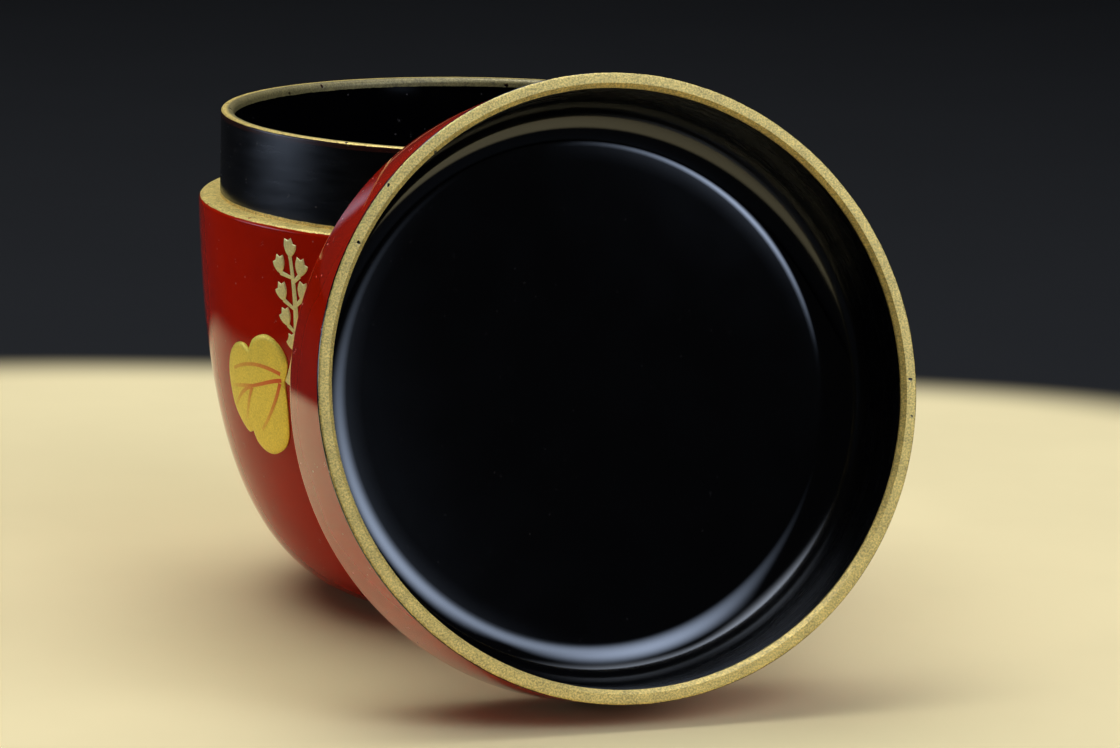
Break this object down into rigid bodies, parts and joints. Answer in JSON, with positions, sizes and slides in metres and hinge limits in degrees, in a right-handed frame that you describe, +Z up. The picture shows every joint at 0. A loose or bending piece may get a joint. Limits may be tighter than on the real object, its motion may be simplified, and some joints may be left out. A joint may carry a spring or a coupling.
{
  "type": "lidded tea caddy",
  "caption": "Round lacquered wooden caddy with an upright inner collar and a push-on lid; the lid is off and leans against the body. Keeps powdered tea or other dry goods.",
  "frame": {"origin": "centre of the flat foot, on the surface the caddy stands on", "axes": "+Z up along the body's turning axis, +Y away from the viewer; the lid leans against the body on its -Y side"},
  "size_m": [0.0868, 0.1052, 0.0726],
  "materials": {
    "red_lacquer": "glossy dark vermilion lacquer outside, black lacquer inside, gold powder on the ledge",
    "black_lacquer": "glossy black lacquer, gold powder on the lip",
    "lid_lacquer": "glossy dark vermilion lacquer outside, black lacquer inside, gold powder on the mouth",
    "gold_powder": "sprinkled gold powder in lacquer, slightly raised"
  },
  "bodies": {
    "caddy": {"body": "red_lacquer", "inner_collar": "black_lacquer"},
    "lid": {"lid": "lid_lacquer"}
  },
  "joints": [
    {"name": "lid_lift", "type": "slide", "parent": "caddy", "child": "lid", "axis": [0, 0, 1], "range_m": [0, 0.08]}
  ]
}
